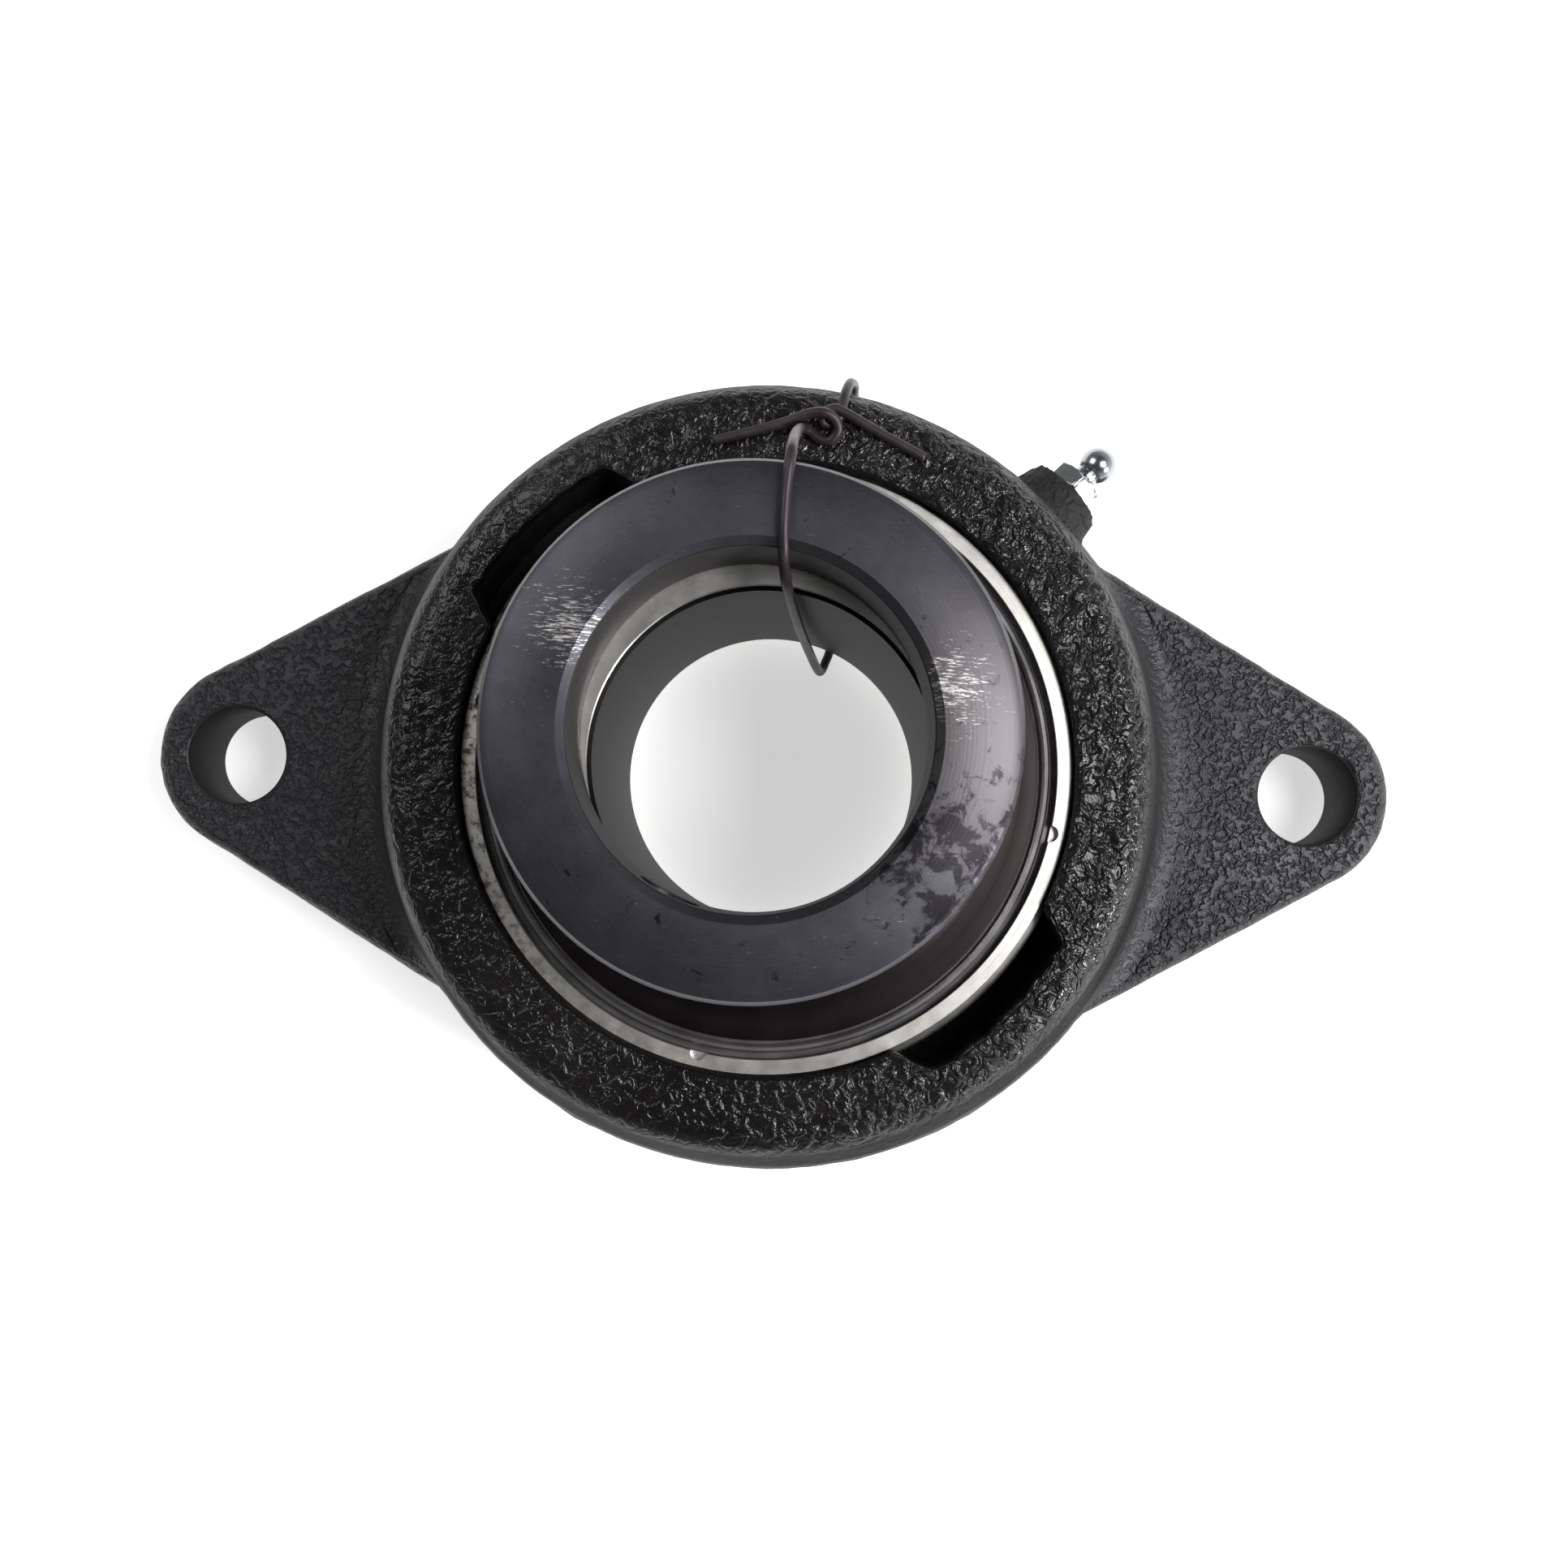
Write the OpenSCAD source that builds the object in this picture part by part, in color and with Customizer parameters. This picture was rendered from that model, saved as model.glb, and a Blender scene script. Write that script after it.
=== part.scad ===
// Two-bolt flange mount bearing for a 2 inch shaft.
// A cast iron flange housing holds a self-aligning ball bearing insert with a wide inner ring,
// two three-piece seals and an eccentric locking collar.
// Millimetres. The shaft axis is +Z, the bolt line is X and the mounting face is the plane z = 0.

/* [Flange] */
// Distance between the centres of the two bolt holes
bolt_spacing = 184.15; // [180:0.05:190]
// Diameter of each bolt hole
bolt_hole_d = 16.7; // [12:0.1:18]
// Thickness of the flange
flange_t = 18; // [14:0.5:20]
// Radius of the rounded end of each ear
ear_r = 16.4; // [15:0.1:18]
// How far each ear's end circle lies inboard of its bolt hole
ear_inset = 2.3; // [0:0.1:4]
// Angle between an ear's straight edges and the bolt line
ear_angle = 30; // [27:0.5:33]
// Chamfer on the ears' front edges
ear_edge_chamfer = 1.5; // [1:0.1:3]

/* [Housing body] */
// Radius of the body where it leaves the flange
body_base_r = 66.8; // [66:0.1:69]
// Height of the body's front face above the mounting face
body_h = 45.5; // [44.5:0.1:47]
// Draft angle of the body's side
body_draft = 14; // [8:0.5:15]
// Rounding of the body's front edge
body_round_r = 5; // [3:0.5:6]
// Fillet between the body and the flange
body_fillet_r = 5; // [3:0.5:6]
// Radius of the cored opening in the back
back_opening_r = 46.5; // [45:0.1:47]
// Height of the spherical seat's centre above the mounting face
seat_h = 31; // [30:0.1:32]

/* [Loading slots] */
// Direction of the first of the two opposite slots, from the bolt line
slot_angle = 136; // [130:1:140]
// Distance of the slots' outer walls from the shaft axis
slot_outer_r = 53.5; // [52:0.1:55]
// Half the angle that a slot's outer wall spans
slot_half_angle = 14.5; // [13:0.5:17]
// Half the angle that a slot spans where it opens into the seat
slot_mouth_half_angle = 20.5; // [19:0.5:23]
// Radius of the slots' outer corners
slot_corner_r = 3.5; // [2:0.1:5]

/* [Bearing insert] */
// Diameter of the shaft
shaft_d = 50.8; // [49:0.1:51]
// Diameter of the outer ring's spherical outside
insert_d = 100; // [100:0.01:100.04]
// Width of the outer ring
outer_ring_w = 25; // [24.5:0.1:25.4]
// Width of the inner ring
inner_ring_w = 55.6; // [55:0.1:56]
// Number of balls
ball_n = 10; // [10]
// Diameter of each ball
ball_d = 14.288; // [14.2:0.001:14.288]
// Diameter of the circle through the balls' centres
pitch_d = 77.5; // [77.4:0.01:77.6]
// Radius of the raceway grooves' section
groove_r = 7.43; // [7.3:0.01:7.5]
// Radius of the inner ring's lands
inner_land_r = 34.5; // [34.3:0.1:34.6]
// Radius of the outer ring's lands
outer_land_r = 43.3; // [43.2:0.1:43.5]
// Radius of the seal seats bored in both faces of the outer ring
seal_seat_r = 45.5; // [45.4:0.1:45.6]

/* [Locking collar] */
// Outer diameter of the collar
collar_d = 76.2; // [75:0.1:77]
// Width of the collar
collar_w = 23.8; // [22:0.1:24]
// Distance from the inner ring's back face to the collar's front face
overall_w = 71.4; // [71:0.1:72]
// Bore of the collar
collar_bore_d = 51.2; // [51:0.1:51.6]
// Eccentricity of the inner ring's cam, and of the collar's recess
cam_e = 1.9; // [1.6:0.1:2]
// Radius of the cam
cam_r = 31.3; // [31:0.1:31.4]
// Direction of the cam's high side
cam_angle = 114; // [90:1:130]
// Direction of the set screw, from the bolt line
screw_angle = 245; // [235:1:255]
// Direction of the blind hole for a pin spanner
spanner_hole_angle = -63; // [-80:1:-50]

/* [Grease fitting] */
// Direction of the grease fitting, from the bolt line
fitting_angle = 45; // [40:1:50]
// Height of the grease fitting above the mounting face
fitting_h = 32; // [31:0.5:33]
// Radius of the boss that it is screwed into
boss_r = 7.4; // [7:0.1:8]
// Distance of the boss's end from the shaft axis
boss_end = 67; // [66:0.1:69]
// Hexagon across flats
fitting_hex = 8; // [7.8:0.1:9.6]
// Diameter of the fitting's head
fitting_head_d = 5.9; // [5.6:0.1:6.5]

/* [Hidden] */
$fn = 96;

iron_colour = "#242328";
ring_colour = "#c9c9c6";
race_colour = "#8d8b88";
blackened_colour = "#47464b";
shroud_colour = "#55555a";
rubber_colour = "#1b1b1c";
cage_colour = "#b5a98a";
zinc_colour = "#d8dadb";

cut = 1;                                    // how far cutting shapes run past a face
fit_gap = 0.05;                             // radial clearance of each running fit
ear_cx = bolt_spacing / 2 - ear_inset;      // centre of an ear's end circle
edge_lap = 2;                               // degrees the end's chamfer runs past its two ends
fillet_bite = 0.05;                         // how far the fillet's arc runs into both faces
shoulder_z = body_h - body_round_r;
shoulder_r = body_base_r - (shoulder_z - flange_t) * tan(body_draft)
             - body_round_r / cos(body_draft);
seat_r = insert_d / 2 + fit_gap;

ball_r = ball_d / 2;
pitch_r = pitch_d / 2;
race_gap = 0.01;                            // between a ball and each raceway's bottom
inner_race_x = pitch_r - ball_r - race_gap + groove_r;
outer_race_x = pitch_r + ball_r + race_gap - groove_r;
half_ring_w = outer_ring_w / 2;
seal_seat_depth = 3.2;
ring_chamfer = 0.7;
lube_groove_low = seat_h + 0.5;             // the housing's grease groove, round the seat
lube_groove_high = seat_h + 8.5;
lube_groove_r = seat_r + 0.9;
lube_hole_d = 2;
lube_hole_z = 7;                            // above the seat's centre
notch_r = 1.3;                              // staking notches in the outer ring's front face
notch_angle = 259;

inner_back_z = seat_h - inner_ring_w / 2;
inner_front_z = seat_h + inner_ring_w / 2;
bore_chamfer = 0.8;
collar_front_z = inner_back_z + overall_w;
collar_back_z = collar_front_z - collar_w;
cam_back_z = collar_back_z - 1.4;
recess_top_z = inner_front_z + 0.4;
cam_pos = [cam_e * cos(cam_angle), cam_e * sin(cam_angle), 0];
collar_pos = 2 * cam_pos;
collar_chamfer = 2;
collar_bore_chamfer = 1.3;
screw_z = collar_front_z - 7.6;
screw_r = 4.76;
screw_gap = 0.04;
screw_tip = collar_bore_d / 2 + 0.6;
screw_len = 10;
screw_socket_af = 4.76;
spanner_hole_d = 9.5;
spanner_hole_deep = 6;

cage_in_r = pitch_r - 2.4;
cage_out_r = pitch_r + 2.4;
cage_t = 1.2;
pocket_gap = 0.1;
rivet_r = 1.1;
rivet_head_r = 2.1;
rivet_head_h = 0.9;

passage_r = 1.5;
thread_r = 3.17;
shank_len = 6;
hex_t = 3;
head_r = fitting_head_d / 2;
fitting_tip = boss_end + 9.5;
head_centre = fitting_tip - head_r + 0.25;
neck_r = head_r * 0.68;
fitting_bore_r = 1.3;
tip_hole_r = 0.8;
check_ball_r = 1.15;
check_seat = fitting_tip - 1.3;
check_centre = check_seat - sqrt(check_ball_r * check_ball_r - tip_hole_r * tip_hole_r) - 0.02;
spring_wire_r = 0.15;
spring_mean_r = 0.95;
spring_turns = 6;
spring_low = boss_end - shank_len + 1.2;
spring_high = check_centre - check_ball_r - 0.05;

function ball_name(i) = str("ball_", i < 10 ? "0" : "", i);

// ---- housing ----

// The tangent point of an ear's straight edge on its end circle, and the foot of the normal
// from the shaft axis on the same edge
function ear_tangent() = [ear_cx + ear_r * sin(ear_angle), ear_r * cos(ear_angle)];
edge_dist = ear_cx * sin(ear_angle) + ear_r;
function ear_foot() = edge_dist * [sin(ear_angle), cos(ear_angle)];

module flange_outline() {
  t = ear_tangent();
  f = ear_foot();
  for (side = [-1, 1]) translate([side * ear_cx, 0]) circle(r = ear_r);
  polygon([[t.x, t.y], [f.x, f.y], [-f.x, f.y], [-t.x, t.y],
           [-t.x, -t.y], [-f.x, -f.y], [f.x, -f.y], [t.x, -t.y]]);
}

// Chamfers one ear's front edges: round its end, then along its two straight edges
module ear_edge_waste() {
  run = norm(ear_tangent() - ear_foot());
  reach = ear_edge_chamfer + cut;
  section = [[-reach, cut], [cut, -reach], [cut, cut]];
  translate([ear_cx, 0, flange_t])
    rotate([0, 0, ear_angle - 90 - edge_lap])
      rotate_extrude(angle = 180 - 2 * ear_angle + 2 * edge_lap)
        translate([ear_r, 0]) polygon(section);
  for (side = [0, 1]) mirror([0, side, 0])
    translate([ear_foot().x, ear_foot().y, flange_t])
      rotate([0, 0, -ear_angle])
        rotate([90, 0, 90])
          linear_extrude(run) polygon(section);
}

module flange() {
  difference() {
    linear_extrude(flange_t) flange_outline();
    for (turn = [0, 180]) rotate([0, 0, turn]) ear_edge_waste();
  }
}

// Half section of the drafted body with its rounded front edge
module body_section() {
  tangent = [shoulder_r + body_round_r * cos(body_draft),
             shoulder_z + body_round_r * sin(body_draft)];
  polygon([[0, 0], [body_base_r, 0], [body_base_r, flange_t], tangent,
           [shoulder_r, shoulder_z], [shoulder_r, body_h], [0, body_h]]);
  intersection() {
    translate([shoulder_r, shoulder_z]) circle(r = body_round_r);
    translate([shoulder_r - cut, 0]) square([2 * body_round_r, body_h + cut]);
  }
}

// Half section of the fillet between body and flange: runs a hair into both
module fillet_section() {
  centre_z = flange_t + body_fillet_r - fillet_bite;
  wall_r = body_base_r - (centre_z - flange_t) * tan(body_draft);
  centre_r = wall_r + body_fillet_r / cos(body_draft) - fillet_bite;
  touch = [centre_r - body_fillet_r * cos(body_draft), centre_z - body_fillet_r * sin(body_draft)];
  difference() {
    polygon([[body_base_r - 3, flange_t - cut], [centre_r, flange_t - cut],
             [centre_r, centre_z], touch, [touch.x - 3, touch.y]]);
    translate([centre_r, centre_z]) circle(r = body_fillet_r);
  }
}

// Plan of one loading slot, opening towards the shaft axis
module slot_plan() {
  inner_r = slot_outer_r - slot_corner_r;
  corner_angle = slot_half_angle - asin(slot_corner_r / inner_r);
  corner = inner_r * [cos(corner_angle), sin(corner_angle)];
  mouth_r = 46;
  mouth = mouth_r * [cos(slot_mouth_half_angle + 2), sin(slot_mouth_half_angle + 2)];
  flare = atan2(mouth.y - corner.y, mouth.x - corner.x) - 90;
  side = corner + slot_corner_r * [cos(flare), sin(flare)];
  for (s = [-1, 1]) {
    translate([corner.x, s * corner.y]) circle(r = slot_corner_r);
    polygon([[mouth_r - 10, 0], [mouth.x - 8, s * mouth.y], [mouth.x, s * mouth.y],
             [side.x, s * side.y], [corner.x, s * corner.y], [corner.x, 0]]);
  }
  intersection() {
    circle(r = slot_outer_r);
    polygon([[0, 0], 2 * corner, [2 * corner.x, -2 * corner.y]]);
  }
}

module along_fitting() {
  translate([0, 0, fitting_h]) rotate([0, 0, fitting_angle]) rotate([0, 90, 0]) children();
}

module grease_boss() {
  along_fitting() {
    cylinder(r = boss_r, h = boss_end - 1.5);
    translate([0, 0, boss_end - 1.5]) cylinder(r1 = boss_r, r2 = boss_r - 1.5, h = 1.5);
  }
}

module housing() {
  color(iron_colour) difference() {
    union() {
      flange();
      rotate_extrude() body_section();
      intersection() {
        rotate_extrude() fillet_section();
        linear_extrude(body_h) flange_outline();
      }
      grease_boss();
    }
    translate([0, 0, seat_h]) sphere(r = seat_r);
    translate([0, 0, -cut]) cylinder(r = back_opening_r, h = seat_h);
    translate([0, 0, lube_groove_low])
      cylinder(r = lube_groove_r, h = lube_groove_high - lube_groove_low);
    for (turn = [0, 180]) rotate([0, 0, slot_angle + turn])
      translate([0, 0, seat_h]) linear_extrude(body_h) slot_plan();
    for (side = [-1, 1]) translate([side * bolt_spacing / 2, 0, -cut])
      cylinder(d = bolt_hole_d, h = flange_t + 2 * cut);
    along_fitting() {
      translate([0, 0, insert_d / 2 - 4]) cylinder(r = passage_r, h = 20);
      translate([0, 0, boss_end - shank_len - 1]) cylinder(r = thread_r, h = shank_len + 1 + cut);
    }
  }
}

// ---- bearing insert ----

// A 45 degree cone that takes the sharp edge off the ring's upper face
module edge_cone(face_r) {
  translate([0, 0, -half_ring_w])
    cylinder(r1 = face_r + outer_ring_w - ring_chamfer, r2 = face_r - ring_chamfer,
             h = outer_ring_w);
}

module outer_ring() {
  land_h = outer_ring_w - 2 * seal_seat_depth;
  face_r = sqrt(pow(insert_d / 2, 2) - pow(half_ring_w, 2));
  color(ring_colour) translate([0, 0, seat_h]) difference() {
    intersection() {
      sphere(r = insert_d / 2);
      cylinder(r = insert_d, h = outer_ring_w, center = true);
      edge_cone(face_r);
      mirror([0, 0, 1]) edge_cone(face_r);
    }
    cylinder(r = outer_land_r, h = outer_ring_w + cut, center = true);
    rotate_extrude() translate([outer_race_x, 0]) circle(r = groove_r);
    for (side = [-1, 1]) translate([0, 0, side * (land_h / 2 + outer_ring_w / 2)])
      cylinder(r = seal_seat_r, h = outer_ring_w, center = true);
    for (turn = [0 : 90 : 270]) rotate([0, 0, notch_angle + turn])
      translate([seal_seat_r, 0, half_ring_w - 1.5]) cylinder(r = notch_r, h = 3);
    for (turn = [0, 180]) rotate([0, 0, turn])
      translate([outer_land_r - 2, 0, lube_hole_z]) rotate([0, 90, 0])
        cylinder(d = lube_hole_d, h = 12);
  }
}

module inner_ring() {
  color(race_colour) difference() {
    union() {
      translate([0, 0, inner_back_z + bore_chamfer])
        cylinder(r = inner_land_r, h = cam_back_z - inner_back_z - bore_chamfer);
      translate([0, 0, inner_back_z])
        cylinder(r1 = inner_land_r - bore_chamfer, r2 = inner_land_r, h = bore_chamfer);
      translate(cam_pos) {
        translate([0, 0, cam_back_z - cut])
          cylinder(r = cam_r, h = inner_front_z - cam_back_z + cut - bore_chamfer);
        translate([0, 0, inner_front_z - bore_chamfer])
          cylinder(r1 = cam_r, r2 = cam_r - bore_chamfer, h = bore_chamfer);
      }
    }
    translate([0, 0, inner_back_z - cut]) cylinder(d = shaft_d, h = inner_ring_w + 2 * cut);
    translate([0, 0, seat_h]) for (side = [0, 1]) mirror([0, 0, side])
      translate([0, 0, inner_ring_w / 2 - bore_chamfer])
        cylinder(r1 = shaft_d / 2, r2 = shaft_d / 2 + 2 * bore_chamfer, h = 2 * bore_chamfer);
    translate([0, 0, seat_h]) rotate_extrude()
      translate([inner_race_x, 0]) circle(r = groove_r);
  }
}

module ball(i) {
  color(ring_colour) translate([0, 0, seat_h])
    rotate([0, 0, (i - 1) * 360 / ball_n]) translate([pitch_r, 0, 0]) sphere(r = ball_r);
}

// One pressed half of the cage, on the side of the balls' plane where z is positive
module cage_half() {
  difference() {
    intersection() {
      union() {
        cylinder(r = cage_out_r, h = cage_t);
        for (i = [0 : ball_n - 1]) rotate([0, 0, i * 360 / ball_n])
          translate([pitch_r, 0, 0]) sphere(r = ball_r + pocket_gap + cage_t * 0.9);
      }
      cylinder(r = cage_out_r, h = ball_d);
    }
    translate([0, 0, -cut]) cylinder(r = cage_in_r, h = ball_d + 2 * cut);
    for (i = [0 : ball_n - 1]) {
      rotate([0, 0, i * 360 / ball_n])
        translate([pitch_r, 0, 0]) sphere(r = ball_r + pocket_gap);
      rotate([0, 0, (i + 0.5) * 360 / ball_n])
        translate([pitch_r, 0, -cut]) cylinder(r = rivet_r + 0.02, h = 2 * cage_t + cut);
    }
  }
}

module cage_front_half() {
  color(cage_colour) translate([0, 0, seat_h]) cage_half();
}

module cage_rear_half() {
  color(cage_colour) translate([0, 0, seat_h]) mirror([0, 0, 1]) cage_half();
}

module cage_rivets() {
  color(cage_colour) translate([0, 0, seat_h])
    for (i = [0 : ball_n - 1]) rotate([0, 0, (i + 0.5) * 360 / ball_n])
      translate([pitch_r, 0, 0]) {
        cylinder(r = rivet_r, h = 2 * cage_t, center = true);
        for (side = [0, 1]) mirror([0, 0, side]) translate([0, 0, cage_t])
          cylinder(r1 = rivet_head_r, r2 = rivet_head_r - 0.6, h = rivet_head_h);
      }
}

// Seal sections are drawn with y = 0 at the outer ring's face and y positive outwards
module shroud_section() {
  rim = seal_seat_r - 0.02;
  polygon([[rim, -3.1], [rim, -2.3], [44.4, -2.3], [44.4, -0.6], [44.1, -0.3], [43.6, -0.3],
           [43.2, -0.6], [43.2, -1.7], [37, -1.7], [37, -2.5], [43.8, -2.5], [43.8, -3.1]]);
}

module washer_section() {
  lip = inner_land_r + 0.04;
  polygon([[43.7, -2.55], [43.7, -3.15], [43.2, -3.15], [43.2, -3.7], [37, -3.7], [35.6, -3.1],
           [lip, -3.1], [lip, -2.2], [35.2, -1.9], [36.9, -1.9], [36.9, -2.55]]);
}

module slinger_section() {
  hub = inner_land_r + 0.01;
  polygon([[hub, -1.3], [42.2, -1.3], [42.6, -1.1], [42.6, -0.7], [42.1, -0.5], [38.2, -0.3],
           [36.8, 0.3], [36, 1.4], [35.7, 3], [35.4, 3.2], [hub, 3.2]]);
}

module at_front_face() {
  translate([0, 0, seat_h + half_ring_w]) rotate_extrude() children();
}

module at_rear_face() {
  translate([0, 0, seat_h - half_ring_w]) mirror([0, 0, 1]) rotate_extrude() children();
}

module front_seal_shroud() { color(shroud_colour) at_front_face() shroud_section(); }
module front_seal_washer() { color(rubber_colour) at_front_face() washer_section(); }
module front_seal_slinger() { color(blackened_colour) at_front_face() slinger_section(); }
module rear_seal_shroud() { color(shroud_colour) at_rear_face() shroud_section(); }
module rear_seal_washer() { color(rubber_colour) at_rear_face() washer_section(); }
module rear_seal_slinger() { color(blackened_colour) at_rear_face() slinger_section(); }

// ---- locking collar ----

module along_collar_radius(angle) {
  translate([collar_pos.x, collar_pos.y, screw_z]) rotate([0, 0, angle]) rotate([0, 90, 0])
    children();
}

module locking_collar() {
  collar_r = collar_d / 2;
  bore_r = collar_bore_d / 2;
  back_chamfer = collar_chamfer / 2;
  color(blackened_colour) difference() {
    translate([collar_pos.x, collar_pos.y, collar_back_z]) rotate_extrude()
      polygon([[0, 0], [collar_r - back_chamfer, 0], [collar_r, back_chamfer],
               [collar_r, collar_w - collar_chamfer], [collar_r - collar_chamfer / 3,
                collar_w - collar_chamfer / 3], [collar_r - collar_chamfer, collar_w],
               [0, collar_w]]);
    translate([collar_pos.x, collar_pos.y, collar_back_z - cut]) {
      cylinder(r = bore_r, h = collar_w + 2 * cut);
      translate([0, 0, collar_w + cut - collar_bore_chamfer])
        cylinder(r1 = bore_r, r2 = bore_r + 2 * collar_bore_chamfer, h = 2 * collar_bore_chamfer);
    }
    translate([cam_pos.x, cam_pos.y, collar_back_z - cut])
      cylinder(r = cam_r + fit_gap, h = recess_top_z - collar_back_z + cut);
    along_collar_radius(screw_angle) cylinder(r = screw_r, h = collar_d);
    along_collar_radius(spanner_hole_angle)
      translate([0, 0, collar_r - spanner_hole_deep])
        cylinder(d = spanner_hole_d, h = 2 * spanner_hole_deep);
  }
}

module collar_set_screw() {
  body_r = screw_r - screw_gap;
  color(blackened_colour) along_collar_radius(screw_angle) difference() {
    union() {
      translate([0, 0, screw_tip]) cylinder(r1 = body_r - 1.6, r2 = body_r, h = 1.6);
      translate([0, 0, screw_tip + 1.6]) cylinder(r = body_r, h = screw_len - 2.2);
      translate([0, 0, screw_tip + screw_len - 0.6])
        cylinder(r1 = body_r, r2 = body_r - 0.6, h = 0.6);
    }
    translate([0, 0, screw_tip + screw_len - 5])
      cylinder(d = screw_socket_af / cos(30), h = 5 + cut, $fn = 6);
    translate([0, 0, screw_tip - cut]) cylinder(r1 = 2 + cut, r2 = 0.4, h = cut + 1.6);
  }
}

// ---- grease fitting ----

module grease_fitting_body() {
  color(zinc_colour) along_fitting() difference() {
    union() {
      translate([0, 0, boss_end - shank_len]) cylinder(r = thread_r - 0.02, h = shank_len);
      translate([0, 0, boss_end + 0.02]) intersection() {
        cylinder(d = fitting_hex / cos(30), h = hex_t, $fn = 6);
        cylinder(r1 = fitting_hex / 2 + 0.1, r2 = fitting_hex / 2 + 2.5, h = hex_t * 0.8 + 2.4);
        cylinder(r1 = fitting_hex / 2 + 3.1, r2 = fitting_hex / 2 + 0.1, h = hex_t);
      }
      translate([0, 0, boss_end - cut]) cylinder(r = thread_r - 0.02, h = 2 * cut);
      translate([0, 0, boss_end + hex_t]) cylinder(r1 = head_r, r2 = neck_r, h = 1.3);
      translate([0, 0, boss_end + hex_t]) cylinder(r = neck_r, h = head_centre - boss_end - hex_t);
      intersection() {
        translate([0, 0, head_centre]) sphere(r = head_r);
        cylinder(r = boss_end, h = fitting_tip);
      }
    }
    translate([0, 0, spring_low - 0.2])
      cylinder(r = fitting_bore_r, h = check_seat - spring_low + 0.2);
    translate([0, 0, boss_end - shank_len - cut]) cylinder(r = tip_hole_r, h = fitting_tip);
  }
}

module grease_fitting_check_ball() {
  color(ring_colour) along_fitting() translate([0, 0, check_centre]) sphere(r = check_ball_r);
}

// A compression spring: rings of points carried along a helix and joined into one closed tube
module grease_fitting_spring() {
  steps_per_turn = 8;
  sides = 5;
  rings = spring_turns * steps_per_turn;
  rise = spring_high - spring_low - 2 * spring_wire_r;
  points = [for (k = [0 : rings], s = [0 : sides - 1])
    let (turn = 360 * k / steps_per_turn, around = 360 * s / sides,
         reach = spring_mean_r + spring_wire_r * cos(around))
    [reach * cos(turn), reach * sin(turn),
     spring_low + spring_wire_r + rise * k / rings + spring_wire_r * sin(around)]];
  walls = [for (k = [0 : rings - 1], s = [0 : sides - 1])
    let (a = k * sides + s, b = k * sides + (s + 1) % sides)
    [a, b, b + sides, a + sides]];
  first = [for (s = [sides - 1 : -1 : 0]) s];
  last = [for (s = [0 : sides - 1]) rings * sides + s];
  color(zinc_colour) along_fitting() polyhedron(points, concat(walls, [first, last]));
}

housing();
outer_ring();
inner_ring();
locking_collar();
collar_set_screw();
for (i = [1 : ball_n]) ball(i);
cage_front_half();
cage_rear_half();
cage_rivets();
front_seal_shroud();
front_seal_washer();
front_seal_slinger();
rear_seal_shroud();
rear_seal_washer();
rear_seal_slinger();
grease_fitting_body();
grease_fitting_check_ball();
grease_fitting_spring();
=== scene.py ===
import bpy
import numpy as np
from mathutils import Matrix, Vector


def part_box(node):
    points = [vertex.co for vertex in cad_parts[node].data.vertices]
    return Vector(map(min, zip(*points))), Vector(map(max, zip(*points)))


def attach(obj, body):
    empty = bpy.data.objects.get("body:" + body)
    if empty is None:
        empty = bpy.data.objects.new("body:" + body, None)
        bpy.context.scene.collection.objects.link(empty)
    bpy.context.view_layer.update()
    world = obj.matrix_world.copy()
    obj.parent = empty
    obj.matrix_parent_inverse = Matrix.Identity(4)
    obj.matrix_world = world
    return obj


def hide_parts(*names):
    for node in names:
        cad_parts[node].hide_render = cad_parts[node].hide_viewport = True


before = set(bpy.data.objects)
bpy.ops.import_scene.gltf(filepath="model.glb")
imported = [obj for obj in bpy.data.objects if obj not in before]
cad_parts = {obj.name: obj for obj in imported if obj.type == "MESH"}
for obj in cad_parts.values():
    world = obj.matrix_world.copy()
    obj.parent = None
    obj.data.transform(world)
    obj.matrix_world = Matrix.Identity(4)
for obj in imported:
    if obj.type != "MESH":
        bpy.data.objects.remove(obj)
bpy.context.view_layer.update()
MM = 0.001

# ---- camera ----
# It looks almost straight down the shaft axis from the locking collar's side, from a little to
# the right of and below the axis, so the bore shows its upper wall and the collar its lower side.

camera_place = Vector((6.68, -13.92, 298.49)) * MM
camera_turns = {"X": -2.59, "Y": -1.025, "Z": -2.231}
sensor_width = 36
lens_length = 37.52

camera_data = bpy.data.cameras.new("camera")
camera_data.sensor_width = sensor_width
camera_data.lens = lens_length
camera_data.clip_start = 10 * MM
camera = bpy.data.objects.new("camera", camera_data)
bpy.context.scene.collection.objects.link(camera)
world_to_camera = Matrix.Identity(3)
for axis, angle in camera_turns.items():
    world_to_camera = world_to_camera @ Matrix.Rotation(np.radians(angle), 3, axis)
camera.matrix_world = Matrix.Translation(camera_place) @ world_to_camera.transposed().to_4x4()
bpy.context.scene.camera = camera


# ---- tie wire ----
# Soft black annealed steel wire, drawn and then heated, which leaves a thin dark oxide. It goes
# over the collar, through the bore, behind the flange and up over the body's edge, where its
# ends are hooked into each other, so the insert and housing stay together until they are fitted.

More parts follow.
